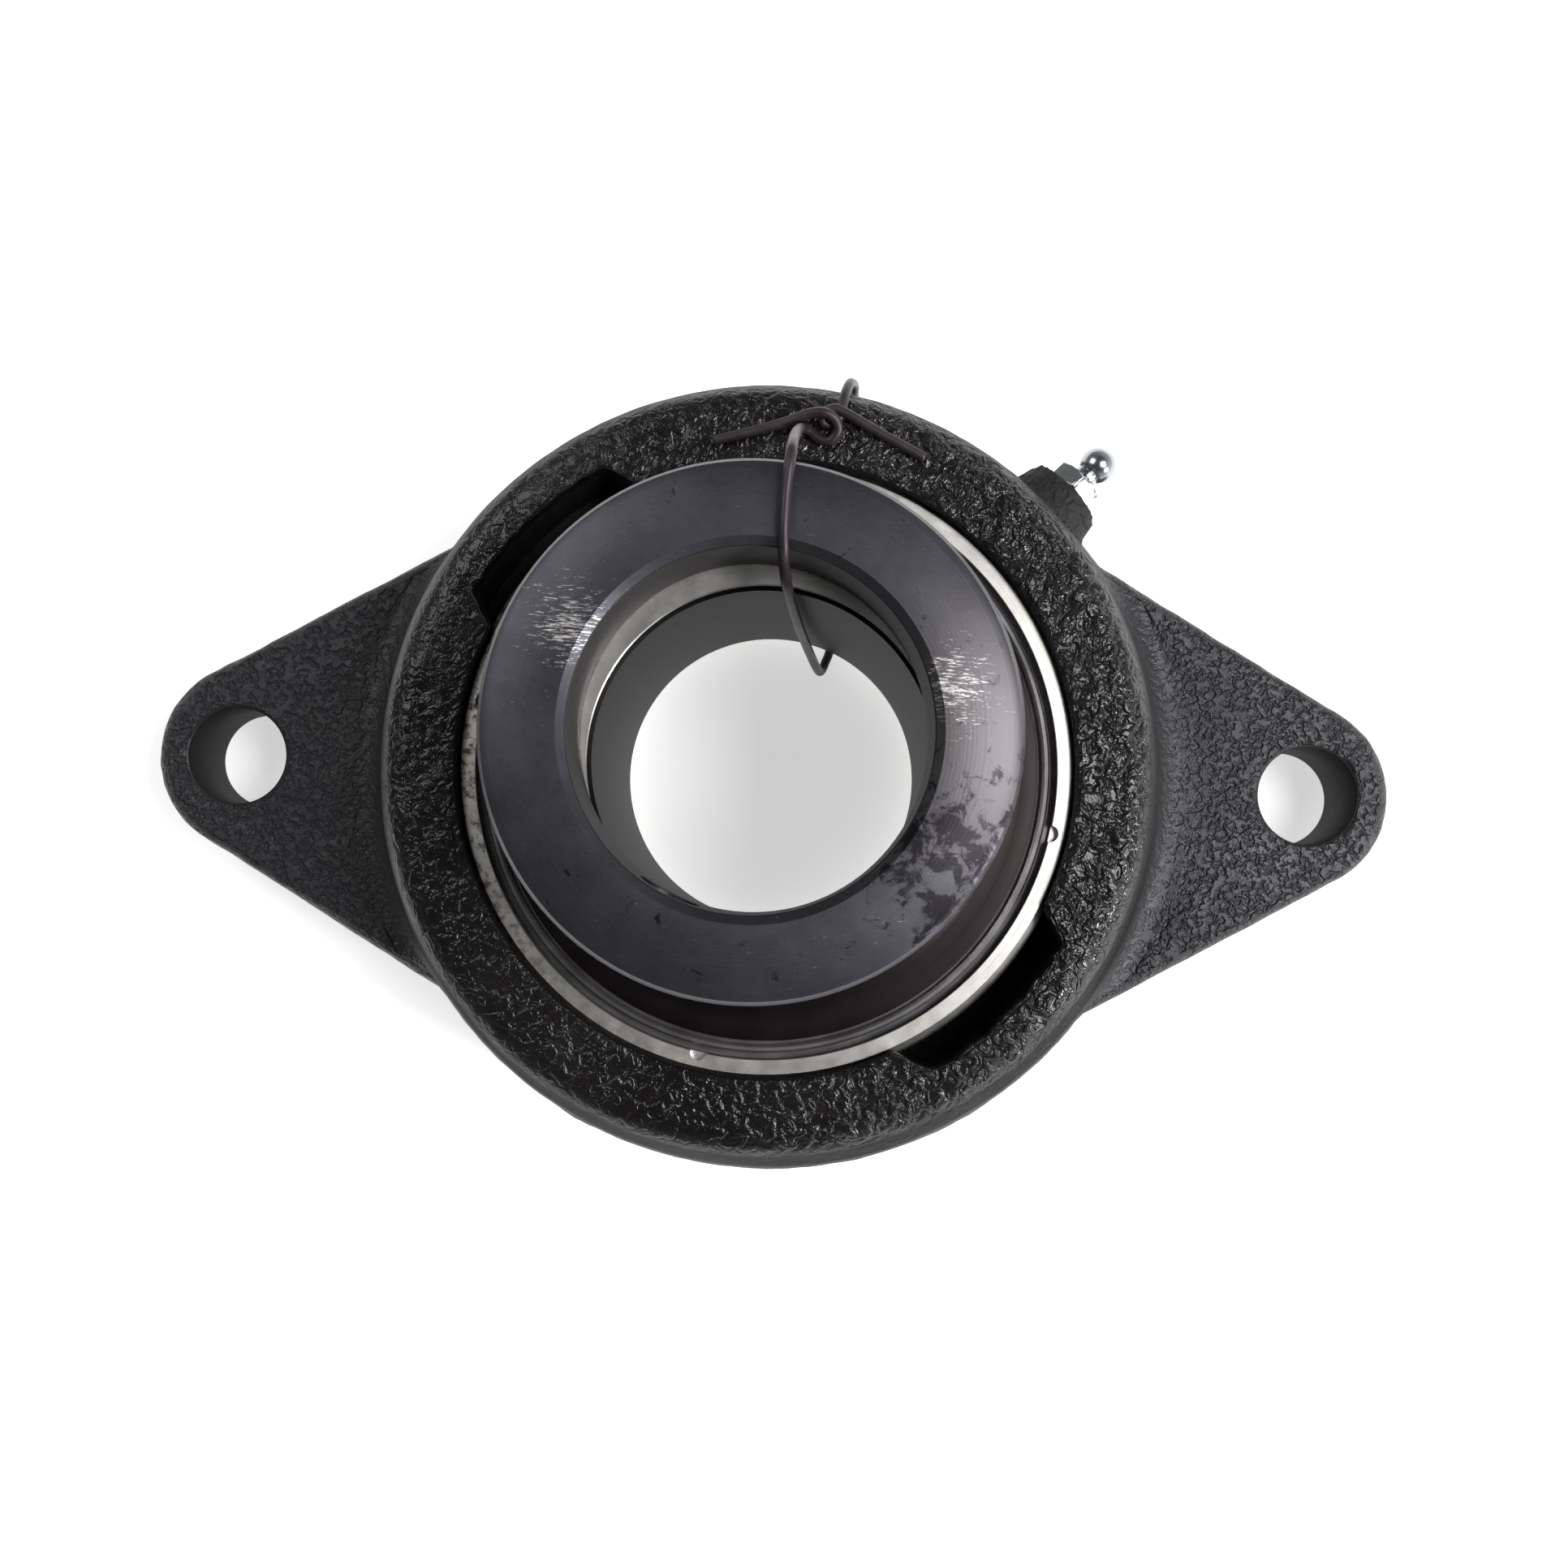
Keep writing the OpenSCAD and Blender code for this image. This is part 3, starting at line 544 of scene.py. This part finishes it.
def ground_steel(name, low, high, stain, roughness, bore, bore_radius):
    """Ground steel: bright metal with grinding rings about 0.1 mm apart, drawn at 0.35 mm so
    that they show, soft cloudy brightness and brown-grey storage stains towards -X. Inside the
    bore's radius in mm it is duller and painted the darker bore colour, a painted shade."""
    material, tree, shader, place = new_material(name, Metallic=1.0)
    radius = round_axis(tree, place)
    rings = add(tree, "TexNoise", {"noise_dimensions": "1D", "Scale": 1 / (0.35 * MM),
                                   "Detail": 3}, {"W": radius})
    cloud = add(tree, "TexNoise", {"Scale": 1 / (4 * MM), "Detail": 7, "Roughness": 0.72},
                {"Vector": place})
    speck = add(tree, "TexNoise", {"Scale": 1 / (1.6 * MM), "Detail": 4, "Roughness": 0.7},
                {"Vector": place})
    left = add(tree, "SeparateXYZ", {}, {0: place}, 0)
    stained = add(tree, "MapRange", {"interpolation_type": "SMOOTHSTEP", "From Min": -20 * MM,
                                     "From Max": -50 * MM}, {"Value": left})
    spots = add(tree, "MapRange", {"From Min": 0.48, "From Max": 0.62}, {"Value": speck})
    amount = add(tree, "Math", {"operation": "MULTIPLY"}, {0: stained, 1: spots})
    bright = add(tree, "Mix", {"data_type": "RGBA", 6: colour(low), 7: colour(high)},
                 {0: cloud}, 2)
    tint = add(tree, "Mix", {"data_type": "RGBA", 7: colour(stain)}, {0: amount, 6: bright}, 2)
    # Painted shade: inside the bore's radius the steel is painted the darker bore colour
    in_bore = add(tree, "Math", {"operation": "LESS_THAN", 1: bore_radius * MM}, {0: radius})
    tint = add(tree, "Mix", {"data_type": "RGBA", 7: colour(bore)}, {0: in_bore, 6: tint}, 2)
    rough = add(tree, "MapRange", {"To Min": roughness - 0.08, "To Max": roughness + 0.12},
                {"Value": cloud})
    rough = add(tree, "Mix", {3: 0.55}, {0: in_bore, 2: rough})
    bump = add(tree, "Bump", {"Distance": 0.012 * MM, "Strength": 0.8}, {"Height": rings})
    finish_material(tree, shader, Base_Color=tint, Roughness=rough, Normal=bump)
    return material


def sharpen(piece, sharp):
    """Keeps edges sharp where the faces meet at more than an angle in degrees."""
    split = piece.modifiers.new("sharp edges", "EDGE_SPLIT")
    split.split_angle = np.radians(sharp)


def dress(name, material, sharp=32):
    """Gives a CAD node its material, and merges its loose triangles for smooth shading up to
    the sharp angle in degrees."""
    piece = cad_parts[name]
    piece.data.materials.clear()
    piece.data.materials.append(material)
    piece.data.shade_smooth()
    weld = piece.modifiers.new("weld", "WELD")
    weld.merge_threshold = 0.002 * MM
    sharpen(piece, sharp)


# Painted shade in the bores: a dull mid grey inside the outer ring, near black in the inner ring's
# bore
dress("outer_ring", ground_steel("ground_outer_ring_steel", "#a3a19d", "#eceae6", "#5b4a40", 0.34,
                                 bore="#7d7b7a", bore_radius=45.6))
dress("inner_ring", ground_steel("ground_inner_ring_steel", "#c4c2be", "#eeece8", "#5b5350", 0.3,
                                 bore="#1d1b1b", bore_radius=26.0))


# ---- balls and cage ----
# Lapped chrome-steel balls, mirror bright, in a cage of two rings pressed from thin mild-steel
# strip and joined by a rivet between each pair of balls.

def lapped_steel():
    """Lapped steel: a mirror under a thin film of grease that dulls it in patches."""
    material, tree, shader, place = new_material(
        "lapped_ball_steel", Metallic=1.0, Base_Color=colour("#d9d9d6"))
    film = add(tree, "TexNoise", {"Scale": 1 / (3 * MM), "Detail": 3}, {"Vector": place})
    rough = add(tree, "MapRange", {"To Min": 0.04, "To Max": 0.2}, {"Value": film})
    finish_material(tree, shader, Roughness=rough)
    return material


def pressed_strip():
    """Pressed mild steel: rolled strip with a dull, faintly yellow surface and press marks."""
    material, tree, shader, place = new_material("pressed_cage_steel", Metallic=1.0)
    mark = add(tree, "TexNoise", {"Scale": 1 / (2 * MM), "Detail": 4}, {"Vector": place})
    tint = add(tree, "Mix", {"data_type": "RGBA", 6: colour("#8f887c"), 7: colour("#b9b3a6")},
               {0: mark}, 2)
    rough = add(tree, "MapRange", {"To Min": 0.3, "To Max": 0.5}, {"Value": mark})
    bump = add(tree, "Bump", {"Distance": 0.01 * MM, "Strength": 0.6}, {"Height": mark})
    finish_material(tree, shader, Base_Color=tint, Roughness=rough, Normal=bump)
    return material


ball_count = 10
ball_material = lapped_steel()
cage_material = pressed_strip()
for number in range(1, ball_count + 1):
    dress(f"ball_{number:02d}", ball_material, 60)
for name in ("cage_front_half", "cage_rear_half", "cage_rivets"):
    dress(name, cage_material)


# ---- seals ----
# Each side has a sheet-steel shroud pressed into the outer ring, a moulded nitrile washer that
# wipes the inner ring, and a slinger pressed on the inner ring that throws dirt off.

def blackened_sheet(name, low, high, roughness):
    """Pressed and blackened sheet steel: a thin brown-black oxide with oil on it, over the faint
    rings that spinning in the press leaves."""
    material, tree, shader, place = new_material(name, Metallic=0.85)
    radius = round_axis(tree, place)
    rings = add(tree, "TexNoise", {"noise_dimensions": "1D", "Scale": 1 / (0.5 * MM),
                                   "Detail": 2}, {"W": radius})
    oil = add(tree, "TexNoise", {"Scale": 1 / (7 * MM), "Detail": 4}, {"Vector": place})
    tint = add(tree, "Mix", {"data_type": "RGBA", 6: colour(low), 7: colour(high)}, {0: oil}, 2)
    rough = add(tree, "MapRange", {"To Min": roughness - 0.07, "To Max": roughness + 0.1},
                {"Value": oil})
    bump = add(tree, "Bump", {"Distance": 0.01 * MM, "Strength": 0.6}, {"Height": rings})
    finish_material(tree, shader, Base_Color=tint, Roughness=rough, Normal=bump)
    return material


def moulded_nitrile():
    """Moulded nitrile rubber: a dull black dielectric with a fine matt texture."""
    material, tree, shader, place = new_material("nitrile_rubber", IOR=1.52)
    bloom = add(tree, "TexNoise", {"Scale": 1 / (3 * MM), "Detail": 4}, {"Vector": place})
    tint = add(tree, "Mix", {"data_type": "RGBA", 6: colour("#161616"), 7: colour("#262525")},
               {0: bloom}, 2)
    rough = add(tree, "MapRange", {"To Min": 0.55, "To Max": 0.75}, {"Value": bloom})
    fine = add(tree, "TexNoise", {"Scale": 1 / (0.3 * MM), "Detail": 2}, {"Vector": place})
    bump = add(tree, "Bump", {"Distance": 0.02 * MM, "Strength": 0.6}, {"Height": fine})
    finish_material(tree, shader, Base_Color=tint, Roughness=rough, Normal=bump)
    return material


shroud_material = blackened_sheet("blackened_shroud_steel", "#3c393a", "#8d8a8b", 0.33)
slinger_material = blackened_sheet("blackened_slinger_steel", "#141011", "#231d1e", 0.42)
rubber_material = moulded_nitrile()
for side in ("front", "rear"):
    dress(f"{side}_seal_shroud", shroud_material)
    dress(f"{side}_seal_slinger", slinger_material)
    dress(f"{side}_seal_washer", rubber_material)


# ---- locking collar ----
# Turned from steel bar and blackened in hot salts, then oiled. Its cupped back runs on the inner
# ring's eccentric cam. Its face has fine lathe rings, drag scratches down to bright metal and
# blotches where the oil has dried.

def blackened_bar():
    """Black oxide on turned steel: slate-grey metal, satin, with rings about 0.15 mm apart drawn
    at 0.45 mm and hair scratches. Beside the bore it is rubbed down to bright metal in two
    places, one side has dried oil with darker blotches in it, and the bore is brown-black, the
    oxide's own dark colour deepened with painted shade. Towards +X the face has a painted
    highlight, a lighter and slightly warm grey."""
    material, tree, shader, place = new_material("black_oxide_steel", Metallic=0.9)
    lo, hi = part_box("locking_collar")
    radius = round_axis(tree, place, ((lo.x + hi.x) / 2, (lo.y + hi.y) / 2))
    rings = add(tree, "TexNoise", {"noise_dimensions": "1D", "Scale": 1 / (0.45 * MM),
                                   "Detail": 3}, {"W": radius})
    cloud = add(tree, "TexNoise", {"Scale": 1 / (9 * MM), "Detail": 7, "Roughness": 0.68},
                {"Vector": place})
    blotch = add(tree, "TexNoise", {"Scale": 1 / (3.2 * MM), "Detail": 6, "Roughness": 0.7,
                                    "Distortion": 0.5}, {"Vector": place})
    oil_side = near(tree, place, (27 * MM, -14 * MM), 24 * MM)
    oily = add(tree, "Math", {"operation": "MULTIPLY_ADD", 1: 0.22}, {0: oil_side, 2: blotch})
    oily = add(tree, "MapRange", {"interpolation_type": "SMOOTHSTEP", "From Min": 0.62,
                                  "From Max": 0.72}, {"Value": oily})
    turned = add(tree, "Mapping", {"Rotation": (0, 0, 0.9), "Scale": (1, 7, 1)}, {0: place})
    hair = add(tree, "TexNoise", {"Scale": 1 / (1.8 * MM), "Detail": 6, "Roughness": 0.75,
                                  "Distortion": 0.4}, {"Vector": turned})
    rubbed_left = near(tree, place, (-27 * MM, 17 * MM), 11 * MM)
    rubbed_right = near(tree, place, (26 * MM, 10 * MM), 10 * MM)
    rubbed = add(tree, "Math", {"operation": "ADD"}, {0: rubbed_left, 1: rubbed_right})
    scratch = add(tree, "Math", {"operation": "MULTIPLY_ADD", 1: 0.17}, {0: rubbed, 2: hair})
    scratch = add(tree, "MapRange", {"From Min": 0.66, "From Max": 0.76}, {"Value": scratch})
    # Painted highlight: towards +X the face is painted a lighter, slightly warm grey where the key
    # light's sheen falls
    painted_highlight = near(tree, place, (32 * MM, 4 * MM), 26 * MM)
    slate = add(tree, "Mix", {"data_type": "RGBA", 6: colour("#2d2c30"), 7: colour("#56555b")},
                {0: cloud}, 2)
    slate = add(tree, "Mix", {"data_type": "RGBA", 7: colour("#575456")}, {0: painted_highlight, 6: slate}, 2)
    slate = add(tree, "Mix", {"data_type": "RGBA", 7: colour("#242226")}, {0: oily, 6: slate}, 2)
    tint = add(tree, "Mix", {"data_type": "RGBA", 7: colour("#d0cccb")}, {0: scratch, 6: slate}, 2)
    in_bore = add(tree, "Math", {"operation": "LESS_THAN", 1: 25.8 * MM}, {0: radius})
    # Painted shade: the bore is painted brown-black, the oxide's own dark colour deepened as shade
    tint = add(tree, "Mix", {"data_type": "RGBA", 7: colour("#1f1b1c")}, {0: in_bore, 6: tint}, 2)
    rough = add(tree, "MapRange", {"To Min": 0.42, "To Max": 0.34}, {"Value": oily})
    rough = add(tree, "Mix", {3: 0.6}, {0: in_bore, 2: rough})
    metal = add(tree, "Mix", {2: 0.9, 3: 0.35}, {0: in_bore})
    grain = add(tree, "Math", {"operation": "MULTIPLY_ADD", 1: 0.9}, {0: hair, 2: rings})
    bump = add(tree, "Bump", {"Distance": 0.016 * MM, "Strength": 0.9}, {"Height": grain})
    finish_material(tree, shader, Base_Color=tint, Roughness=rough, Normal=bump, Metallic=metal)
    return material


collar_material = blackened_bar()
dress("locking_collar", collar_material)


# ---- set screw ----
# A socket set screw of alloy steel with a rolled thread, a cup point that bites into the shaft,
# and a hexagon socket, blackened like the collar that it is driven through.

screw_angle = np.radians(245)
screw_height = 67.0
screw_tip = 26.2
screw_length = 10.0
screw_radius = 4.72
screw_pitch = 1.27
screw_socket = 4.76
socket_depth = 4.6
turns_of_grid = np.linspace(0, 2 * np.pi, 96, endpoint=False)


def about_axis(stations, radii, start, along):
    """Points round a level axis: start + station * along + radius * (side * cos a + up * sin a),
    for stations and radii of (rows, columns)."""
    along = np.array([*along, 0.0])
    side = np.array([-along[1], along[0], 0.0])
    up = np.array([0.0, 0.0, 1.0])
    a = turns_of_grid[:, None]
    round_part = side * np.cos(a) + up * np.sin(a)
    return np.array(start) + stations[..., None] * along + radii[..., None] * round_part


def hexagon(across_flats):
    """Distance from the axis to a hexagon's side: half the width over flats / cos of the angle
    from the side's middle."""
    return across_flats / 2 / np.cos((turns_of_grid + np.pi / 6) % (np.pi / 3) - np.pi / 6)


def thread(stations, crest, pitch):
    """Radius of a single 60 degree thread at each station: the crest less a wave that repeats
    once a pitch and climbs one pitch a turn, with crests and roots blunted."""
    phase = (stations[:, None] / pitch - turns_of_grid / (2 * np.pi)) % 1
    wave = np.clip(1.25 * np.abs(2 * phase - 1) - 0.12, 0, 1)
    return crest - 0.61 * pitch * wave


def profile_rows(pairs):
    """Stations and radii of (rows, columns) from (station, radius) pairs, where a radius may be
    one number or one for each column."""
    stations = np.array([[s] * len(turns_of_grid) for s, r in pairs], float)
    return stations, np.array([r + 0 * turns_of_grid for s, r in pairs])


def threaded_rows(low, high, crest, pitch):
    """Rows of a thread from one station to another, ten to a pitch, that runs out at both ends."""
    s = np.linspace(low, high, int((high - low) / pitch * 10))
    r = thread(s, crest, pitch)
    root = crest - 0.61 * pitch
    fade = ease(np.minimum(s - low, high - s) / (0.7 * pitch))[:, None]
    return list(zip(s, root - 0.05 + (r - root + 0.05) * fade))


screw_pairs = [(0.9, 0.4), (0.0, 1.9), (0.0, 2.3), (1.2, screw_radius - 0.85)]
screw_pairs += threaded_rows(1.2, screw_length - 0.9, screw_radius, screw_pitch)[1:]
screw_pairs += [(screw_length, screw_radius - 1.2), (screw_length, screw_socket / 2 * 1.22)]
screw_pairs += [(screw_length - 0.4, hexagon(screw_socket)),
                (screw_length - socket_depth, hexagon(screw_socket)),
                (screw_length - socket_depth - 0.9, 0.3)]
lo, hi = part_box("locking_collar")
collar_axis = ((lo + hi) / 2 / MM).xy
screw_along = (np.cos(screw_angle), np.sin(screw_angle))
screw_start = (collar_axis.x + screw_tip * screw_along[0],
               collar_axis.y + screw_tip * screw_along[1], screw_height)
screw_points = about_axis(*profile_rows(screw_pairs), screw_start, screw_along)
set_screw = grid_piece("threaded_set_screw", screw_points, cap_ends=True)
set_screw.data.materials.append(collar_material)
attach(set_screw, "set_screw")
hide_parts("collar_set_screw")
sharpen(set_screw, 35)


# ---- grease fitting ----
# A hydraulic grease nipple: a hexagon with a tapered thread below and a ball-shaped head above,
# turned from free-cutting steel and bright zinc plated. A small ball, held up by a spring, shuts
# its mouth.

def bright_zinc():
    """Bright zinc plate: a pale grey metal with a faint cool cast and a soft mirror."""
    material, tree, shader, place = new_material("bright_zinc_plate", Metallic=1.0)
    haze = add(tree, "TexNoise", {"Scale": 1 / (2 * MM), "Detail": 4}, {"Vector": place})
    tint = add(tree, "Mix", {"data_type": "RGBA", 6: colour("#84888c"), 7: colour("#b9bcbe")},
               {0: haze}, 2)
    rough = add(tree, "MapRange", {"To Min": 0.14, "To Max": 0.3}, {"Value": haze})
    finish_material(tree, shader, Base_Color=tint, Roughness=rough)
    return material


zinc_material = bright_zinc()
thread_end = 61.0
hex_foot = boss_end
hex_top = hex_foot + 3.0
hex_flats = 8.0
neck_radius = 2.0
head_radius = 2.95
tip = 76.5
head_middle = tip - head_radius + 0.25
mouth_radius = 0.8
passage_radius = 1.3

corner = hexagon(hex_flats)
fitting_pairs = threaded_rows(thread_end, hex_foot, 3.15, 0.907)
fitting_pairs += [(hex_foot, 3.6), (hex_foot, np.minimum(corner, hex_flats / 2 + 0.02)),
                  (hex_foot + 0.3, np.minimum(corner, hex_flats / 2 + 0.4)),
                  (hex_foot + 0.45, corner), (hex_top - 0.45, corner),
                  (hex_top - 0.3, np.minimum(corner, hex_flats / 2 + 0.4)),
                  (hex_top, np.minimum(corner, hex_flats / 2 + 0.02)), (hex_top, 3.3),
                  (hex_top + 0.15, 2.9), (hex_top + 0.5, 2.3), (hex_top + 0.9, neck_radius)]
neck_turn = np.arccos(-np.sqrt(1 - (neck_radius / head_radius)**2))
mouth_turn = np.arcsin(1.75 / head_radius)
for turn in np.linspace(neck_turn, mouth_turn, 22):
    fitting_pairs.append((head_middle + head_radius * np.cos(turn), head_radius * np.sin(turn)))
fitting_pairs += [(tip - 0.12, 1.5), (tip, 1.3), (tip, mouth_radius + 0.15),
                  (tip - 0.15, mouth_radius), (tip - 1.2, mouth_radius),
                  (tip - 2.0, passage_radius), (thread_end + 0.2, passage_radius),
                  (thread_end, passage_radius + 0.2)]
along_boss = (np.cos(boss_angle), np.sin(boss_angle))
fitting_points = about_axis(*profile_rows(fitting_pairs), (0, 0, boss_height), along_boss)
fitting = grid_piece("grease_fitting", fitting_points, close_rows=True)
fitting.data.materials.append(zinc_material)
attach(fitting, "housing")
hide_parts("grease_fitting_body")
sharpen(fitting, 35)
dress("grease_fitting_spring", zinc_material)
dress("grease_fitting_check_ball", ball_material, 60)


# ---- floor and light ----
# A pale card sheet under the unit, low enough for the tie wire behind the flange. A soft light
# stands above on the right, a smaller and crisper one lower on the right towards -Y, and a weak
# fill above on the left.

def pale_sheet():
    """Matt pale card on a light table: off-white, with a barely visible tooth and a soft glow."""
    material, tree, shader, place = new_material(
        "pale_card", Roughness=0.9, Emission_Color=(1, 1, 1, 1), Emission_Strength=0.58)
    tooth = add(tree, "TexNoise", {"Scale": 1 / (1.5 * MM), "Detail": 2}, {"Vector": place})
    tint = add(tree, "Mix", {"data_type": "RGBA", 6: colour("#f4f4f4"), 7: colour("#fbfbfb")},
               {0: tooth}, 2)
    finish_material(tree, shader, Base_Color=tint)
    return material


def soft_light(name, place, aim, size, power):
    """A square soft light, with its place, aim and size in metres and its power in watts."""
    data = bpy.data.lights.new(name, "AREA")
    data.size = size
    data.energy = power
    light = bpy.data.objects.new(name, data)
    light.location = place
    light.rotation_euler = (Vector(aim) - Vector(place)).to_track_quat("-Z", "Y").to_euler()
    bpy.context.scene.collection.objects.link(light)


sheet_gap = 0.15
floor_depth = wire_radius * 2 + sheet_gap
sheet_half = 3000.0
corners = np.array([[(-1, -1), (1, -1)], [(-1, 1), (1, 1)]], float) * sheet_half
sheet_points = np.concatenate([corners, np.full((2, 2, 1), -floor_depth)], -1)
floor = grid_piece("floor", sheet_points, close_columns=False)
floor.data.materials.append(pale_sheet())

unit_middle = (0, 0, 0.03)
soft_light("key", (0.36, 0.03, 0.62), unit_middle, size=0.3, power=3.8)
soft_light("side", (0.62, -0.3, 0.36), unit_middle, size=0.13, power=4.5)
soft_light("fill", (-0.42, 0.3, 0.6), unit_middle, size=0.4, power=1.7)

# The surroundings are bright near the horizon on the right, and dim on the left and overhead
world = bpy.data.worlds.new("studio")
world.use_nodes = True
sky = world.node_tree
direction = add(sky, "TexCoord", output=0)
rise = add(sky, "SeparateXYZ", {}, {0: direction}, 2)
right = add(sky, "SeparateXYZ", {}, {0: direction}, 0)
horizon = add(sky, "MapRange", {"interpolation_type": "SMOOTHSTEP", "From Min": -0.5,
                                "From Max": 0.9, "To Min": 0.3, "To Max": 0.85}, {"Value": right})
level = add(sky, "MapRange", {"interpolation_type": "SMOOTHSTEP", "From Min": 0.2,
                              "From Max": 0.8, "To Max": 0.09}, {"Value": rise, 3: horizon})
sky.nodes["Background"].inputs["Color"].default_value = (1, 1, 1, 1)
sky.links.new(level, sky.nodes["Background"].inputs["Strength"])
bpy.context.scene.world = world
bpy.context.scene.view_settings.view_transform = "Standard"
